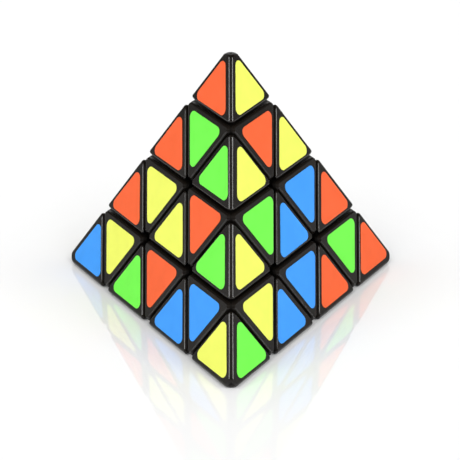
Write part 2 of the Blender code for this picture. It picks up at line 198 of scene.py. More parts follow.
def mesh_from(bm):
    bmesh.ops.recalc_face_normals(bm, faces=bm.faces)
    mesh = bpy.data.meshes.new("shape")
    bm.to_mesh(mesh)
    bm.free()
    return mesh


def weld(bm):
    bmesh.ops.remove_doubles(bm, verts=bm.verts, dist=0.002)
    bmesh.ops.dissolve_degenerate(bm, edges=bm.edges, dist=0.001)


def clipped(polygon, over):
    """The part of a polygon on the inner side of a plane; over is how far each vertex lies outside it."""
    kept = []
    for k, out in enumerate(over):
        after = (k + 1) % len(polygon)
        if out <= 0:
            kept.append(polygon[k])
        if (out <= 0) != (over[after] <= 0):
            share = out / (out - over[after])
            kept.append(polygon[k] + share * (polygon[after] - polygon[k]))
    return np.array(kept)


def solid_between(planes):
    """The closed convex mesh inside every plane: each plane's polygon is a large square clipped by the others."""
    half_square = 400
    square = ((-1, -1), (1, -1), (1, 1), (-1, 1))
    normals = np.array([list(normal) for normal, _ in planes], float)
    normals /= np.linalg.norm(normals, axis=1)[:, None]
    offsets = np.array([far for _, far in planes], float)
    bm = bmesh.new()
    for normal, far in zip(normals, offsets):
        side = np.cross(normal, (1, 0, 0) if abs(normal[0]) < 0.7 else (0, 1, 0))
        side /= np.linalg.norm(side)
        across = np.cross(normal, side)
        polygon = np.array([normal * far + half_square * (x * side + y * across) for x, y in square])
        while len(polygon) > 2:
            over = polygon @ normals.T - offsets
            worst = over.max(axis=0).argmax()
            if over[:, worst].max() < 1e-7:
                break
            polygon = clipped(polygon, over[:, worst])
        if len(polygon) > 2:
            bm.faces.new([bm.verts.new(point) for point in polygon])
    weld(bm)
    return mesh_from(bm)


def loft(rings, looped=False):
    """Joins rings of points into a skin, closed by end faces or, looped, back onto the first ring."""
    bm = bmesh.new()
    rows = [[bm.verts.new(point) for point in ring] for ring in rings]
    for row, later in zip(rows, rows[1:] + (rows[:1] if looped else [])):
        for k in range(len(row)):
            after = (k + 1) % len(row)
            bm.faces.new((row[k], row[after], later[after], later[k]))
    if not looped:
        bm.faces.new(rows[0])
        bm.faces.new(rows[-1])
    return mesh_from(bm)


def lathe(profile, sides=ROUND):
    """Turns a (radius, height) profile round Z: solid if it starts on the axis, else a ring with a hole."""
    angles = [2 * math.pi * k / sides for k in range(sides)]
    rings = [[(r * math.cos(a), r * math.sin(a), z) for a in angles] for r, z in profile if r > 0]
    return loft(rings, looped=profile[0][0] != 0)


def rod(radius, low, high):
    return lathe([(0, low), (radius, low), (radius, high), (0, high)])


def ball(radius):
    bm = bmesh.new()
    bmesh.ops.create_icosphere(bm, subdivisions=BALL_SPLITS, radius=radius)
    return mesh_from(bm)


def worked(base, *steps):
    """The base after each (boolean operation, mesh) step; uses up all the meshes."""
    body = add_object("work", base)
    helpers = [body]
    for operation, mesh in steps:
        tool = add_object("tool", mesh)
        helpers.append(tool)
        modifier = body.modifiers.new("cut", "BOOLEAN")
        modifier.operation = operation
        modifier.solver = "EXACT"
        modifier.object = tool
    bpy.context.view_layer.update()
    graph = bpy.context.evaluated_depsgraph_get()
    result = bpy.data.meshes.new_from_object(body.evaluated_get(graph))
    bm = bmesh.new()
    bm.from_mesh(result)
    weld(bm)
    bm.to_mesh(result)
    bm.free()
    for helper in helpers:
        mesh = helper.data
        bpy.data.objects.remove(helper)
        bpy.data.meshes.remove(mesh)
    return result


def moved_copy(mesh, matrix):
    copy = mesh.copy()
    copy.transform(matrix)
    return copy


def rotation_to(first, second):
    """The rotation that takes the top axis to first and the front axis to second."""

    def basis(one, other):
        return Matrix((one, other, one.cross(other))).transposed()

    return (basis(first, second) @ basis(TOP, FRONT).inverted()).to_4x4()


def rotation_from(start, end):
    """A rotation of the pyramid onto itself that takes one corner axis to another."""
    rotations = (rotation_to(*pair) for pair in itertools.permutations(AXES, 2))
    return next(rotation for rotation in rotations if (rotation @ start - end).length < 1e-6)


# --- pieces, each built with its own corner up ---------------------------------------------------------------
def cell(outer, inner, corner=None):
    """A piece's block: outer are corner axes whose opposite face it shows, inner its cutting planes."""
    skins = [above(axis, -INRADIUS) for axis in outer]
    arcs = []
    for pair in itertools.combinations(skins, 2):
        arcs += rounding(*pair, EDGE_ROUND, EDGE_STEPS)
    if corner:
        arcs += cap(corner)
    planes = skins + arcs + inner
    for skin in skins + arcs:
        radius = CELL_ROUND if skin in skins else SHOULDER_ROUND
        for plane in inner:
            planes += rounding(skin, plane, radius, CELL_STEPS)
    for pair in itertools.combinations(inner, 2):
        planes += rounding(*pair, NODE_ROUND, NODE_STEPS)
        for skin in skins:
            three = [*pair, skin]
            # only where the three planes meet in a true corner
            if abs(np.linalg.det([list(normal) for normal, _ in three])) > 0.2:
                planes += ball_corner(three, BALL_ROUND, BALL_STEPS)
    return solid_between(planes)


def shell(inside_of, start, outside_of, stop, in_radius, out_radius):
    """Part of a hollow ball: above start along the inside_of axes, below stop along the outside_of ones."""
    planes = [above(axis, start) for axis in inside_of]
    planes += [below(axis, stop) for axis in outside_of]
    planes += [(sign * axis, SLAB) for axis in AXES for sign in (1, -1)]
    return worked(
        solid_between(planes), ("INTERSECT", ball(out_radius)), ("DIFFERENCE", ball(in_radius))
    )


def foot(inside_of, outside_of, high=FOOT_OUT_R):
    """The part that slides on the core ball."""
    start, stop = -FOOT_REACH + FOOT_GAP, -FOOT_REACH - FOOT_GAP
    return shell(inside_of, start, outside_of, stop, FOOT_IN_R, high)


def root(inside_of, outside_of):
    """The narrower part that joins a foot to its block."""
    start, stop = HALF_GAP + ROOT_INSET, -FOOT_REACH - FOOT_GAP - ROOT_INSET
    return shell(inside_of, start, outside_of, stop, ROOT_IN_R, ROOT_OUT_R)


def channel():
    """The stepped space in which the wings' ring runs."""
    low, step, high = WING_LOW - CHANNEL_PLAY, WING_STEP + CHANNEL_PLAY, MID_CUT + 3
    flange_r, neck_r = WING_FLANGE_R + CHANNEL_PLAY, WING_NECK_R + CHANNEL_PLAY
    return lathe(
        [(0, low), (flange_r, low), (flange_r, step), (neck_r, step), (neck_r, high), (0, high)],
        CHANNEL_ROUND,
    )


def make_tip():
    block = cell(BASE_AXES, [above(TOP, TIP_CUT + HALF_GAP)], corner=TOP)
    stem = lathe(
        [
            (0, STEM_LOW),
            (STEM_RIM_R - 0.3, STEM_LOW),
            (STEM_RIM_R, STEM_LOW + 0.4),
            (STEM_RIM_R, STEM_RIM_HIGH - 0.2),
            (STEM_R, STEM_RIM_HIGH),
            (STEM_R, TIP_CUT + 1.5),
            (0, TIP_CUT + 1.5),
        ]
    )
    bore = rod(STEM_BORE_R, STEM_LOW - 1, STEM_BORE_HIGH)
    return worked(block, ("UNION", stem), ("DIFFERENCE", bore))


def make_axial():
    block = cell(
        BASE_AXES,
        [above(TOP, MID_CUT + HALF_GAP), below(TOP, TIP_CUT - HALF_GAP)]
        + [below(axis, -HALF_GAP) for axis in BASE_AXES],
    )
    roof = TIP_CUT - HALF_GAP
    well = lathe(
        [
            (0, MID_CUT - 1),
            (SCREW_HOLE_R, MID_CUT - 1),
            (SCREW_HOLE_R, WELL_FLOOR),
            (WELL_R, WELL_FLOOR),
            (WELL_R, MOUTH_LOW),
            (MOUTH_R, MOUTH_LOW + 0.4),
            (MOUTH_R, roof - MOUTH_BEVEL),
            (MOUTH_R + MOUTH_BEVEL, roof + 0.02),
            (MOUTH_R + MOUTH_BEVEL, TIP_CUT + 1),
            (0, TIP_CUT + 1),
        ]
    )
    return worked(block, ("DIFFERENCE", well))


def make_wing():
    """A block beside a corner's axial piece, on a sector of the flanged ring under it."""
    block = cell((LEFT, RIGHT), [above(TOP, MID_CUT + HALF_GAP), above(FRONT, HALF_GAP)])
    ring = lathe(
        [
            (WING_IN_R, WING_LOW),
            (WING_FLANGE_R - WING_BEVEL, WING_LOW),
            (WING_FLANGE_R, WING_LOW + WING_BEVEL),
            (WING_FLANGE_R, WING_STEP - WING_BEVEL),
            (WING_FLANGE_R - WING_BEVEL, WING_STEP),
            (WING_NECK_R, WING_STEP),
            (WING_NECK_R, WING_HIGH),
            (WING_IN_R, WING_HIGH),
        ],
        CHANNEL_ROUND,
    )
    side = HALF_GAP + WING_SIDE_PLAY
    # The first three planes are the sector's sides; the rest only bound it.
    sector = solid_between(
        [
            above(FRONT, side),
            below(LEFT, -side),
            below(RIGHT, -side),
            above(TOP, WING_LOW - 2),
            below(TOP, MID_CUT + 4),
            below(FRONT, 30),
            above(LEFT, -40),
            above(RIGHT, -40),
        ]
    )
    return worked(block, ("UNION", worked(ring, ("INTERSECT", sector))))


def make_mid_edge():
    ends, sides = (TOP, FRONT), (LEFT, RIGHT)
    block = cell(
        sides,
        [above(axis, HALF_GAP) for axis in ends]
        + [below(axis, MID_CUT - HALF_GAP) for axis in ends]
        + [below(axis, -HALF_GAP) for axis in sides],
    )
    return worked(
        block,
        ("DIFFERENCE", ball(FOOT_ROOF_R)),
        ("DIFFERENCE", channel()),
        ("DIFFERENCE", moved_copy(channel(), rotation_to(FRONT, TOP))),
        ("UNION", foot(ends, sides)),
        ("UNION", root(ends, sides)),
    )


def make_face_center():
    """Built on the left face, which is opposite the right corner."""
    around = (TOP, FRONT, LEFT)
    block = cell((RIGHT,), [above(axis, HALF_GAP) for axis in around])
    return worked(
        block,
        ("DIFFERENCE", ball(FOOT_ROOF_R)),
        *(("DIFFERENCE", moved_copy(channel(), rotation_from(TOP, axis))) for axis in around),
        ("UNION", foot(around, (RIGHT,))),
        ("UNION", root(around, (RIGHT,))),
    )


def make_hub():
    """The inner corner piece under an axial piece, with a round neck inside the wings' ring."""
    block = solid_between(
        [below(TOP, MID_CUT - HALF_GAP)] + [below(axis, -HALF_GAP) for axis in BASE_AXES]
    )
    low, high = WING_LOW - CHANNEL_PLAY, MID_CUT + 2
    waist = lathe(
        [(HUB_NECK_R, low), (WAIST_OUT_R, low), (WAIST_OUT_R, high), (HUB_NECK_R, high)],
        CHANNEL_ROUND,
    )
    return worked(
        block,
        ("DIFFERENCE", waist),
        ("DIFFERENCE", ball(FOOT_ROOF_R)),
        ("UNION", foot((), BASE_AXES, high=ROOT_OUT_R)),
        ("DIFFERENCE", rod(SCREW_HOLE_R, 5, MID_CUT + 1)),
    )


def make_core():
    pilot = rod(PILOT_R, PILOT_LOW, CORE_R + 1)
    body = ball(CORE_R)
    body.transform(Matrix.Rotation(CORE_SPIN, 4, "Z"))
    return worked(
        body,
        *(("DIFFERENCE", moved_copy(pilot, rotation_from(TOP, axis))) for axis in AXES),
    )


def cross_recess():
    """The tapered cross cut into the screw's head."""
    quarter = [
        (RECESS_ARM, -RECESS_HALF),
        (RECESS_ARM, RECESS_HALF),
        (RECESS_HALF, RECESS_HALF),
    ]
    outline = []
    for cos, sin in ((1, 0), (0, 1), (-1, 0), (0, -1)):
        outline += [(cos * x - sin * y, sin * x + cos * y) for x, y in quarter]
    levels = ((RECESS_TAPER, HEAD_HIGH - RECESS_DEEP), (1.0, HEAD_HIGH + 0.3))  # scale, height
    return loft([[(x * scale, y * scale, z) for x, y in outline] for scale, z in levels])


def make_screw():
    """The thread is rolled as rings: the shank's radius follows a fine saw up its length."""
    valley_r, shank_r = SCREW_R - THREAD_DEEP, SCREW_R - SHANK_INSET
    profile = [(0, SCREW_LOW), (SCREW_R - POINT_INSET, SCREW_LOW), (valley_r, SCREW_LOW + 0.4)]
    height = SCREW_LOW + 0.55
    while height < THREAD_END:
        profile += [
            (valley_r, height),
            (SCREW_R, height + THREAD_HALF),
            (valley_r, height + 2 * THREAD_HALF),
        ]
        height += THREAD_PITCH
    profile += [(shank_r, height + 0.2), (shank_r, HEAD_LOW), (SCREW_HEAD_R, HEAD_LOW)]
    for step in range(DOME_STEPS + 1):
        angle = math.pi / 2 * step / DOME_STEPS
        radius = SCREW_HEAD_R - DOME_IN * (1 - math.cos(angle))
        rise = (HEAD_HIGH - HEAD_LOW - DOME_RIM) * math.sin(angle)
        profile.append((radius, HEAD_LOW + DOME_RIM + rise))
    profile.append((0, HEAD_HIGH))
    return worked(lathe(profile, SCREW_SIDES), ("DIFFERENCE", cross_recess()))


def make_washer():
    bevel = WASHER_BEVEL
    return lathe(
        [
            (SCREW_HOLE_R, WASHER_LOW + bevel),
            (SCREW_HOLE_R + bevel, WASHER_LOW),
            (WASHER_R - bevel, WASHER_LOW),
            (WASHER_R, WASHER_LOW + bevel),
            (WASHER_R, WASHER_HIGH - bevel),
            (WASHER_R - bevel, WASHER_HIGH),
            (SCREW_HOLE_R + bevel, WASHER_HIGH),
            (SCREW_HOLE_R, WASHER_HIGH - bevel),
        ],
        WASHER_SIDES,
    )


def make_spring():
    """A coil whose first and last half turns lie flat, as on a ground spring."""
    up = Vector((0, 0, 1))
    steps = int(SPRING_TURNS * SPRING_STEPS)
    wire_angles = [2 * math.pi * k / WIRE_SIDES for k in range(WIRE_SIDES)]
    rings = []
    for step in range(steps + 1):
        turns = step / steps * SPRING_TURNS
        rise = np.clip((turns - 0.5) / (SPRING_TURNS - 1.0), 0, 1)
        rise = rise * rise * (3 - 2 * rise) * 0.35 + rise * 0.65  # part eased, part even
        height = float(SPRING_LOW + (SPRING_HIGH - SPRING_LOW) * rise)
        angle = 2 * math.pi * turns
        outward = Vector((math.cos(angle), math.sin(angle), 0))
        middle = outward * SPRING_R + Vector((0, 0, height))
        rings.append(
            [middle + WIRE_R * math.cos(a) * outward + WIRE_R * math.sin(a) * up for a in wire_angles]
        )
    return loft(rings)


# --- materials -----------------------------------------------------------------------------------------------
class Nodes:
    """A short way to write a node tree. A value is either a node's output or a plain number, vector or colour."""

    def __init__(self, tree):
        self.tree = tree

    def feed(self, value, into):
        if isinstance(value, bpy.types.NodeSocket):
            self.tree.links.new(value, into)
        else:
            into.default_value = value

    def add(self, kind, **settings):
        """Adds a node; settings name its inputs or its own properties."""
        node = self.tree.nodes.new(kind)
        for key, value in settings.items():
            if key in node.inputs:
                self.feed(value, node.inputs[key])
            else:
                setattr(node, key, value)
        return node

    def spread(self, value, to, over=(0.0, 1.0), **settings):
        """Maps the range over onto the range to, held at its ends."""
        node = self.add("ShaderNodeMapRange", **settings)
        self.feed(value, node.inputs["Value"])
        for key, number in zip(("From Min", "From Max", "To Min", "To Max"), (*over, *to)):
            node.inputs[key].default_value = number
        return node.outputs[0]

    def calc(self, operation, first, second):
        node = self.add("ShaderNodeMath", operation=operation)
        self.feed(first, node.inputs[0])
        self.feed(second, node.inputs[1])
        return node.outputs[0]


class Surface(Nodes):
    """A new material's nodes round one Principled shader, with textures placed in object space."""

    def __init__(self, name):
        self.material = bpy.data.materials.new(name)
        self.material.use_nodes = True
        super().__init__(self.material.node_tree)
        self.tree.nodes.clear()
        self.shader = self.add("ShaderNodeBsdfPrincipled")
        self.add("ShaderNodeOutputMaterial", Surface=self.shader.outputs[0])
        self.place = self.add("ShaderNodeTexCoord").outputs["Object"]

    def finish(self, values):
        """Sets the shader's inputs and returns the material."""
        for key, value in values.items():
            self.feed(value, self.shader.inputs[key])
        return self.material

    def noise(self, scale, detail, rough, place=None):
        place = place or self.place
        node = self.add("ShaderNodeTexNoise", Scale=scale, Detail=detail, Roughness=rough, Vector=place)
        return node.outputs[0]

    def stretched(self, scale, rotation=(0.0, 0.0, 0.0)):
        node = self.add("ShaderNodeMapping", Vector=self.place, Scale=scale, Rotation=rotation)
        return node.outputs[0]

    def mix(self, share, first, second):
        node = self.add("ShaderNodeMix", data_type="RGBA")
        self.feed(share, node.inputs[0])
        self.feed(first, node.inputs[6])
        self.feed(second, node.inputs[7])
        return node.outputs[2]

    def bump(self, height, distance, strength=1.0, **normal):
        node = self.add(
            "ShaderNodeBump", Strength=strength, Distance=distance, Height=height, **normal
        )
        return node.outputs[0]


def scaled(colour, factor, lift=0.0):
    return tuple(min(1.0, c * factor + lift) for c in colour[:3]) + (1,)


def in_the_gaps(n):
    """0 on the outside of the pyramid, rising to 1 just under its faces."""
    most = None  # how far out towards the nearest face
    for axis in AXES:
        along = n.add("ShaderNodeVectorMath", operation="DOT_PRODUCT")
        n.feed(n.place, along.inputs[0])
        n.feed(-axis, along.inputs[1])
        out = n.calc("ADD", along.outputs["Value"], axis.z * INRADIUS / 1000)
        most = out if most is None else n.calc("MAXIMUM", most, out)
    depths = ((INRADIUS - WALL_FULL) / 1000, (INRADIUS - WALL_START) / 1000)
    return n.spread(most, to=(1.0, 0.0), over=depths)


def black_plastic(name, tone, rough, grain):
    """Injection-moulded ABS: a fine moulded grain, soft flow marks in the gloss, hair scratches from handling, a
    painted highlight lightening the colour on convex edges, and matt walls darkened with painted shade where the
    pieces face one another."""
    n = Surface(name)
    wall = in_the_gaps(n)
    flow = n.noise(scale=90.0, detail=3.0, rough=0.55)
    fine = n.noise(scale=2600.0, detail=2.0, rough=0.5)
    streaks = n.stretched(scale=(3200.0, 260.0, 900.0), rotation=(0.4, 0.7, 0.5))
    hair = n.noise(scale=1.0, detail=2.0, rough=0.4, place=streaks)
    scratch = n.spread(hair, to=(0.0, 1.0), over=(0.66, 0.74))
    speck = n.calc(
        "MAXIMUM",
        n.spread(flow, to=(0.0, 0.45), over=(0.35, 0.75)),
        n.spread(fine, to=(0.0, 1.0), over=(0.45, 0.75)),
    )
    colour = n.mix(speck, tone, scaled(tone, factor=2.2))
    # Painted highlight: the colour is lightened where the surface is most convex, along the edges of the pieces.
    edge_pointiness = n.add("ShaderNodeNewGeometry").outputs["Pointiness"]
    edge = n.spread(edge_pointiness, to=(0.0, 0.35), over=(0.52, 0.62))
    colour = n.mix(edge, colour, scaled(tone, factor=3.2))
    # Painted shade: the walls of the gaps, under the faces, are darkened.
    colour = n.mix(wall, colour, scaled(tone, factor=0.6))
    gloss = n.calc(
        "ADD",
        n.spread(flow, to=(rough - 0.04, rough + 0.05), over=(0.3, 0.7)),
        n.spread(scratch, to=(0.0, -0.08)),
    )
    matt = n.calc("ADD", gloss, n.spread(wall, to=(0.0, 0.30)))
    specular = n.spread(wall, to=(0.33, 0.10))
    grained = n.bump(fine, distance=grain)
    scratched = n.bump(scratch, distance=1.2e-6, strength=0.5, Normal=grained)
    return n.finish(
        {
            "Base Color": colour,
            "Roughness": matt,
            "IOR": 1.46,
            "Specular IOR Level": specular,
            "Normal": scratched,
        }
    )


def vinyl(name, colour):
    """Cast vinyl: nearly flat colour, a faint mottle, orange-peel in the gloss, and tiny rub marks."""
    n = Surface(name)
    mottle = n.noise(scale=260.0, detail=3.0, rough=0.5)
    peel = n.noise(scale=1500.0, detail=1.0, rough=0.4)
    rub = n.noise(scale=700.0, detail=4.0, rough=0.65)
    rub = n.spread(rub, to=(0.0, 1.0), over=(0.62, 0.80))
    share = n.spread(mottle, to=(0.0, 1.0), over=(0.3, 0.7))
    dark, light = scaled(colour, factor=0.975), scaled(colour, factor=1.02, lift=0.002)
    gloss = n.spread(mottle, to=(0.36, 0.44), over=(0.3, 0.7))
    return n.finish(
        {
            "Base Color": n.mix(share, dark, light),
            "Roughness": n.calc("ADD", gloss, n.spread(rub, to=(0.0, 0.10))),
            "IOR": 1.40,
            "Specular IOR Level": 0.35,
            "Normal": n.bump(peel, distance=3.5e-6, strength=0.8),
        }
    )


def nylon(name):
    """Cloudy off-white nylon that lets a little light in."""
    n = Surface(name)
    cloud = n.noise(scale=140.0, detail=3.0, rough=0.5)
    share = n.spread(cloud, to=(0.0, 1.0), over=(0.3, 0.7))
    return n.finish(
        {
            "Base Color": n.mix(share, (0.55, 0.55, 0.52, 1), (0.66, 0.66, 0.63, 1)),
            "Roughness": n.spread(cloud, to=(0.38, 0.52)),
            "Subsurface Weight": 0.15,
            "Subsurface Radius": (0.002, 0.002, 0.0018),
            "Subsurface Scale": 0.5,
            "Normal": n.bump(n.noise(scale=2200.0, detail=2.0, rough=0.5), distance=4e-6),
        }
    )


def steel(name, dark, light, rough, stretch):
    """Plated or drawn steel: stretched lines in the finish and a cloudy plating tone."""
    n = Surface(name)
    cloud = n.noise(scale=500.0, detail=3.0, rough=0.55)
    lines = n.noise(scale=1.0, detail=3.0, rough=0.6, place=n.stretched(stretch))
    return n.finish(
        {
            "Base Color": n.mix(cloud, dark, light),
            "Metallic": 1.0,
            "Roughness": n.spread(lines, to=(rough - 0.07, rough + 0.10), over=(0.3, 0.7)),
            "Normal": n.bump(lines, distance=4e-6, strength=0.6),
        }
    )


BLACK = black_plastic("black_abs", tone=(0.0055, 0.0042, 0.0032, 1), rough=0.18, grain=5e-6)
INNER = black_plastic("inner_abs", tone=(0.010, 0.009, 0.009, 1), rough=0.42, grain=4e-6)
NYLON = nylon("core_nylon")
STEEL = steel(
    "screw_steel",
    dark=(0.50, 0.50, 0.52, 1),
    light=(0.66, 0.66, 0.67, 1),
    rough=0.26,
    stretch=(300.0, 300.0, 5200.0),
)
ZINC = steel(
    "washer_zinc",
    dark=(0.60, 0.60, 0.62, 1),
    light=(0.76, 0.77, 0.78, 1),
    rough=0.32,
    stretch=(1800.0, 1800.0, 400.0),
)
WIRE = steel(
    "spring_wire",
    dark=(0.42, 0.42, 0.44, 1),
    light=(0.56, 0.56, 0.58, 1),
    rough=0.25,
    stretch=(900.0, 900.0, 3500.0),
)
# letter in the SCRAMBLE table: (name, material)
COLOURS = {
    "O": ("orange", vinyl("vinyl_orange", (0.90, 0.125, 0.030, 1))),
    "Y": ("yellow", vinyl("vinyl_yellow", (0.84, 0.90, 0.130, 1))),
    "G": ("green", vinyl("vinyl_green", (0.165, 0.90, 0.070, 1))),
    "B": ("blue", vinyl("vinyl_blue", (0.045, 0.325, 0.92, 1))),
}


# --- the assembly --------------------------------------------------------------------------------------------
def shade(piece, sharp_angle):
    """Smooth shading that keeps edges sharper than this many degrees."""
    piece.data.shade_smooth()
    piece.data.set_sharp_from_angle(angle=math.radians(sharp_angle))
    weighted = piece.modifiers.new("weighted", "WEIGHTED_NORMAL")
    weighted.keep_sharp = True
    return weighted


def show(node, mesh, material, turn):
    """The fine piece that stands for a CAD node, on that node's body."""
    own = moved_copy(mesh, TO_WORLD @ turn)
    own.name = node + "_fine"
    own.materials.clear()
    own.materials.append(material)
    piece = add_object(node + "_fine", own)
    shade(piece, sharp_angle=28).weight = 60
    bodies = frame["record"]["behaviour"]["bodies"]
    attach(piece, next(body for body, nodes in bodies.items() if node in nodes))
    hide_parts(node)


CORNER_PARTS = (
    ("tip_", make_tip(), BLACK, "black_plastic"),
    ("axial_", make_axial(), BLACK, "black_plastic"),
    ("inner_hub_", make_hub(), INNER, "inner_black_plastic"),
    ("axis_screw_", make_screw(), STEEL, "screw_steel"),
    ("washer_", make_washer(), ZINC, "washer_steel"),
    ("spring_", make_spring(), WIRE, "spring_steel"),
)
show("core", make_core(), NYLON, Matrix.Identity(4))
for corner, axis in AXIS.items():
    for prefix, mesh, material, slot in CORNER_PARTS:
        show(prefix + corner, mesh, material, rotation_from(TOP, axis))
wing, mid_edge, face_center = make_wing(), make_mid_edge(), make_face_center()
for near, far in itertools.permutations(AXIS, 2):
    turn = rotation_to(AXIS[near], AXIS[far])
    show(f"wing_{near}_{far}", wing, BLACK, turn)
for first, second in itertools.combinations(AXIS, 2):
    turn = rotation_to(AXIS[first], AXIS[second])
    show(f"mid_edge_{first}_{second}", mid_edge, BLACK, turn)
for face, opposite in OPPOSITE_CORNER.items():
    turn = rotation_from(RIGHT, AXIS[opposite])
    show("face_center_" + face, face_center, BLACK, turn)

# --- stickers ------------------------------------------------------------------------------------------------
# piece: the colour it shows on each face
SCRAMBLE = {
    "tip_top": {"left": "O", "right": "Y", "back": "G"},
    "tip_front": {"left": "Y", "right": "G", "bottom": "B"},
    "tip_left": {"left": "B", "back": "Y", "bottom": "O"},
    "tip_right": {"right": "O", "back": "B", "bottom": "G"},
    "axial_top": {"left": "G", "right": "O", "back": "Y"},
    "axial_front": {"left": "B", "right": "Y", "bottom": "G"},
    "axial_left": {"left": "Y", "back": "O", "bottom": "B"},
    "axial_right": {"right": "G", "back": "O", "bottom": "B"},
    "wing_top_front": {"left": "G", "right": "Y"},
    "wing_top_left": {"left": "O", "back": "B"},
    "wing_top_right": {"back": "B", "right": "Y"},
    "wing_front_top": {"left": "G", "right": "Y"},
    "wing_front_left": {"bottom": "Y", "left": "B"},
    "wing_front_right": {"right": "B", "bottom": "G"},
    "wing_left_top": {"back": "G", "left": "O"},
    "wing_left_front": {"left": "G", "bottom": "B"},
    "wing_left_right": {"bottom": "O", "back": "G"},
    "wing_right_top": {"right": "O", "back": "Y"},
    "wing_right_front": {"bottom": "B", "right": "O"},
    "wing_right_left": {"back": "Y", "bottom": "O"},
    "mid_edge_top_front": {"left": "O", "right": "G"},
    "mid_edge_top_left": {"left": "Y", "back": "G"},
    "mid_edge_top_right": {"right": "B", "back": "O"},
    "mid_edge_front_left": {"left": "O", "bottom": "Y"},
    "mid_edge_front_right": {"right": "B", "bottom": "G"},
    "mid_edge_left_right": {"back": "B", "bottom": "Y"},
    "face_center_left": {"left": "Y"},
    "face_center_right": {"right": "B"},
    "face_center_back": {"back": "O"},
    "face_center_bottom": {"bottom": "G"},
}
# Where the stickers that can be seen were laid, (x, y) on the face off their pieces' middles; the others get a
# random hand's error.
LAID = {
    "right": {
        "tip_right": (-0.40, -0.30), "wing_right_front": (-0.05, 0.21),
        "wing_front_right": (0.43, -0.61), "tip_front": (-0.21, 0.72),
        "wing_right_top": (-0.01, 0.33), "face_center_right": (0.18, 0.73),
        "wing_front_top": (-0.07, -0.02), "wing_top_right": (-0.03, 0.47),
        "wing_top_front": (-0.08, 0.75), "tip_top": (0.07, 0.21),
        "axial_right": (-0.16, 0.25), "mid_edge_front_right": (0.36, 0.07),
        "axial_front": (0.28, 0.49), "mid_edge_top_right": (0.18, 0.03),
        "mid_edge_top_front": (0.61, 0.43), "axial_top": (0.29, 0.13),
    },
    "left": {
        "tip_left": (0.16, 0.42), "wing_left_front": (0.13, -0.08),
        "wing_front_left": (0.33, -0.18), "tip_front": (-0.23, -0.11),
        "wing_left_top": (0.04, -0.55), "face_center_left": (0.35, -0.10),
        "wing_front_top": (-0.22, -0.68), "wing_top_left": (-0.05, -0.45),
        "wing_top_front": (-0.13, 0.74), "tip_top": (0.20, -0.42),
        "axial_left": (0.04, 0.03), "mid_edge_front_left": (0.05, -0.16),
        "axial_front": (0.27, -0.25), "mid_edge_top_left": (0.31, 0.23),
        "mid_edge_top_front": (-0.20, -0.22), "axial_top": (0.18, -0.12),
    },
}
HAND_SHIFT, HAND_TWIST = 0.16, 0.5  # most error, in millimetres and in degrees
# (growth of the outline, height over the face) from the sticker's underside to its top
STICKER_PROFILE = (
    (0.0, 0.004),
    (0.0, STICKER_THICK - 0.045),
    (-0.013, STICKER_THICK - 0.013),
    (-0.045, STICKER_THICK),
)
hand = random.Random(11)


def piece_at(face, names, counts, upright):
    """The piece whose triangle starts at these quarter shares of the face's three corners."""
    (most, first), (_, second), _ = sorted(zip(counts, names), key=lambda pair: -pair[0])
    if upright and most == 3:
        return "tip_" + first
    if upright and most == 2:
        return f"wing_{first}_{second}"
    if upright:
        return "face_center_" + face
    if most == 2:
        return "axial_" + first
    return "mid_edge_" + "_".join(sorted((first, second), key=list(AXIS).index))


def sticker(name, corners, border, normal, insets, laid):
    """A thin rounded triangle on a face. corners are its cell's, border says which sides lie on a pyramid edge."""
    middle = sum(corners, Vector()) / 3
    along_x = (corners[1] - corners[0]).normalized()
    along_y = normal.cross(along_x)
    flat = [Vector(((c - middle).dot(along_x), (c - middle).dot(along_y))) for c in corners]

    # Each side moved in as far as the centres of the rounded corners: (point, direction, inward)
    sides = []
    for k in range(3):
        start, end = flat[k], flat[(k + 1) % 3]
        along = (end - start).normalized()
        inward = Vector((-along.y, along.x))
        if inward.dot(-start) < 0:
            inward = -inward
        inset = insets[0] if border[k] else insets[1]
        sides.append((start + inward * (inset + STICKER_CORNER), along, inward))
    centers = []
    for k in range(3):
        (point, along, _), (other, other_along, _) = sides[k - 1], sides[k]
        cross = along.x * other_along.y - along.y * other_along.x
        gap = other - point
        centers.append(point + along * ((gap.x * other_along.y - gap.y * other_along.x) / cross))

    # The error is drawn for every sticker, so that a laid one doesn't change the rest.
    shift = Vector([hand.uniform(-HAND_SHIFT, HAND_SHIFT) for _ in range(2)])
    if laid:
        shift = Vector(laid)
    spin = Matrix.Rotation(math.radians(hand.uniform(-HAND_TWIST, HAND_TWIST)), 2)

    def ring(grow, height):
        points = []
        for k in range(3):
            start = math.atan2(-sides[k - 1][2].y, -sides[k - 1][2].x)
            end = math.atan2(-sides[k][2].y, -sides[k][2].x)
            sweep = (end - start + math.pi) % (2 * math.pi) - math.pi
            for step in range(STICKER_ARC_STEPS + 1):
                angle = start + sweep * step / STICKER_ARC_STEPS
                out = Vector((math.cos(angle), math.sin(angle))) * (STICKER_CORNER + grow)
                spot = spin @ (centers[k] + out) + shift
                points.append(middle + along_x * spot.x + along_y * spot.y + normal * height)
        return points

    mesh = loft([ring(grow, height) for grow, height in STICKER_PROFILE])
    mesh.transform(TO_WORLD)
    mesh.name = name
    piece = add_object(name, mesh)
    shade(piece, sharp_angle=50)
    return piece


def cells_on_face():
    """(upright, counts, steps): a cell's first quarter shares and the steps from them to its three corners."""
    for upright, total in ((True, 3), (False, 2)):
        steps = [(1, 0, 0), (0, 1, 0), (0, 0, 1)] if upright else [(1, 1, 0), (0, 1, 1), (1, 0, 1)]
        for counts in itertools.product(range(4), repeat=3):
            if sum(counts) == total:
                yield upright, counts, steps


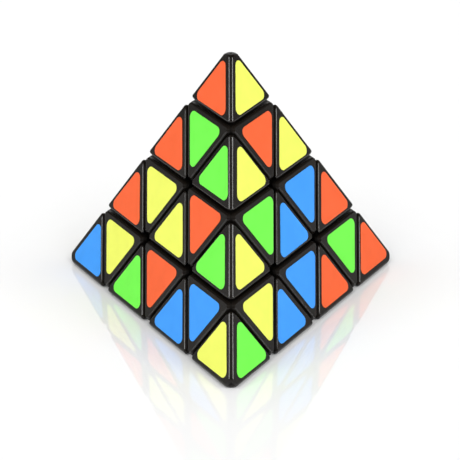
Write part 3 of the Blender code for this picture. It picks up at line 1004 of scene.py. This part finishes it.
for face, opposite in OPPOSITE_CORNER.items():
    names = [name for name in AXIS if name != opposite]
    for upright, counts, steps in cells_on_face():
        shares = [tuple(c + s for c, s in zip(counts, step)) for step in steps]
        corners = [
            sum((AXIS[n] * CORNER_FAR * (share / 4) for n, share in zip(names, row)), Vector())
            for row in shares
        ]
        border = [
            any(shares[k][i] == 0 and shares[(k + 1) % 3][i] == 0 for i in range(3)) for k in range(3)
        ]
        holder = piece_at(face, names, counts, upright)
        colour, material = COLOURS[SCRAMBLE[holder][face]]
        insets = STICKER_INSET[holder.split("_")[0]]
        laid = LAID.get(face, {}).get(holder)
        name = f"sticker_{face}_on_{holder}"
        piece = sticker(name, corners, border, -AXIS[opposite], insets, laid)
        piece.data.materials.append(material)
        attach(piece, holder)

# --- floor, room, lights and camera, in metres ---------------------------------------------------------------
FLOOR_HALF, FLOOR_GAP = 6.0, 0.02 / 1000  # half its width, and how far it lies under the bottom stickers
# Strength of the room in reflections: low down, higher up, over the camera; and of the even white
ROOM_LOW, ROOM_HIGH, ROOM_OVER, ROOM_WHITE = 0.20, 0.03, 0.45, 0.33
SIDE_LIGHT, TOP_LIGHT, FRONT_LIGHT = 5.05, 0.50, 1.0
RIGHT_SHARE = 1.09  # the right softbox's brightness over the left one's
AIM = Vector((0, 0, 0.030))  # what the lights and the camera point at


def pale_floor():
    """Glossy white, painted brighter to the back where less lamp light falls, and a little darker close to the
    puzzle with a painted contact shadow; it is also less reflective close to the puzzle.
    """
    n = Surface("pale_floor")
    cloud = n.noise(scale=3.0, detail=2.0, rough=0.5)
    tone = n.mix(cloud, (0.995, 0.995, 0.995, 1), (1.0, 1.0, 1.0, 1))
    across = n.add("ShaderNodeSeparateXYZ", Vector=n.place)
    # Painted light: the colour is brighter to the back, where the lamps light the floor less than at the front.
    level = n.spread(across.outputs["Y"], to=(0.79, 0.87), over=(-0.10, 0.24))
    reach = n.add("ShaderNodeVectorMath", operation="LENGTH")
    n.feed(n.place, reach.inputs[0])
    far = reach.outputs["Value"]
    # Painted contact shadow: the colour is a little darker close to the puzzle.
    painted_shading = n.calc("MULTIPLY", level, n.spread(far, to=(0.965, 1.0), over=(0.040, 0.066)))
    shaded = n.add("ShaderNodeVectorMath", operation="SCALE")
    n.feed(tone, shaded.inputs[0])
    n.feed(painted_shading, shaded.inputs["Scale"])
    rough = n.spread(cloud, to=(0.010, 0.018))
    faded = n.calc(
        "MULTIPLY",
        n.spread(far, to=(0.95, 0.20), over=(0.036, 0.074)),
        n.spread(far, to=(1.0, 0.25), over=(0.070, 0.115)),
    )
    return n.finish(
        {
            "Base Color": shaded.outputs[0],
            "Roughness": rough,
            "IOR": 1.64,
            "Specular IOR Level": faded,
        }
    )


def make_floor():
    mesh = bpy.data.meshes.new("floor")
    bm = bmesh.new()
    bmesh.ops.create_grid(bm, x_segments=1, y_segments=1, size=FLOOR_HALF)
    bm.to_mesh(mesh)
    bm.free()
    floor = add_object("floor", mesh)
    floor.location.z = -STICKER_THICK / 1000 - FLOOR_GAP
    mesh.materials.append(pale_floor())


def make_world():
    """Mirror-like reflections see a studio that is white behind the puzzle, grey low down all round, and dark above
    and behind the camera, with a grey patch above the camera; everything else sees an even white."""
    world = bpy.data.worlds.new("studio")
    bpy.context.scene.world = world
    world.use_nodes = True
    n = Nodes(world.node_tree)

    def ramp(value, to, over):
        return n.spread(value, to, over, interpolation_type="SMOOTHSTEP")

    view = n.add("ShaderNodeTexCoord").outputs["Generated"]
    direction = n.add("ShaderNodeSeparateXYZ", Vector=view).outputs
    low = ramp(direction["Z"], to=(ROOM_LOW, ROOM_HIGH), over=(0.06, 0.30))
    over = ramp(direction["Z"], to=(0.0, ROOM_OVER), over=(0.38, 0.55))
    front = ramp(direction["Y"], to=(1.0, 0.0), over=(-0.68, -0.50))
    patch = n.calc("MULTIPLY", over, front)
    backdrop = ramp(direction["Y"], to=(0.0, 1.0), over=(0.74, 0.90))
    room = n.calc("MAXIMUM", n.calc("MAXIMUM", low, patch), backdrop)
    rays = n.add("ShaderNodeLightPath")
    strength = n.add("ShaderNodeMix", data_type="FLOAT")
    n.feed(rays.outputs["Is Glossy Ray"], strength.inputs[0])
    n.feed(ROOM_WHITE, strength.inputs[2])
    n.feed(room, strength.inputs[3])
    shine = world.node_tree.nodes["Background"]
    n.feed(strength.outputs[0], shine.inputs["Strength"])
    n.feed((1, 1, 1, 1), shine.inputs["Color"])


def point_at_aim(item, azimuth, elevation, distance):
    """Places an item round the aim and turns it there; angles in degrees, azimuth 0 is towards -Y."""
    a, e = math.radians(azimuth), math.radians(elevation)
    way = Vector((math.sin(a) * math.cos(e), -math.cos(a) * math.cos(e), math.sin(e)))
    item.location = AIM + way * distance
    item.rotation_euler = (-way).to_track_quat("-Z", "Y").to_euler()


def softbox(name, azimuth, elevation, distance, size, brightness, mirrored=False):
    """A soft light of this (width, height); brightness is its own look. A mirrored one only makes glints, the
    others only light the scene."""
    width, height = size
    light = bpy.data.lights.new(name, "AREA")
    light.shape = "RECTANGLE"
    light.size, light.size_y = size
    light.energy = brightness * math.pi * width * height
    lamp = add_object(name, light)
    point_at_aim(lamp, azimuth, elevation, distance)
    lamp.visible_glossy = mirrored
    lamp.visible_diffuse = not mirrored


def make_lights():
    glint = dict(elevation=18, distance=1.1, size=(0.30, 0.80), brightness=17.0, mirrored=True)
    softbox("glint_left", azimuth=-68, **glint)
    softbox("glint_right", azimuth=68, **glint)
    side = dict(elevation=44, distance=3.0, size=(2.6, 1.3))
    softbox("softbox_left", azimuth=-50, brightness=SIDE_LIGHT, **side)
    softbox("softbox_right", azimuth=50, brightness=SIDE_LIGHT * RIGHT_SHARE, **side)
    softbox(
        "softbox_top", azimuth=180, elevation=80, distance=3.0, size=(3.0, 3.0), brightness=TOP_LIGHT
    )
    softbox(
        "softbox_front", azimuth=0, elevation=35, distance=3.0, size=(2.4, 1.6), brightness=FRONT_LIGHT
    )


def make_camera():
    lens = bpy.data.cameras.new("camera")
    lens.sensor_width = 36.0
    lens.lens = 242.702609
    lens.shift_x = -0.00169565217
    lens.shift_y = -0.0483913043
    lens.clip_start = 0.01
    camera = add_object("camera", lens)
    point_at_aim(camera, azimuth=-0.097, elevation=24.747, distance=0.893)
    bpy.context.scene.camera = camera
    bpy.context.scene.view_settings.view_transform = "Standard"


make_floor()
make_world()
make_lights()
make_camera()
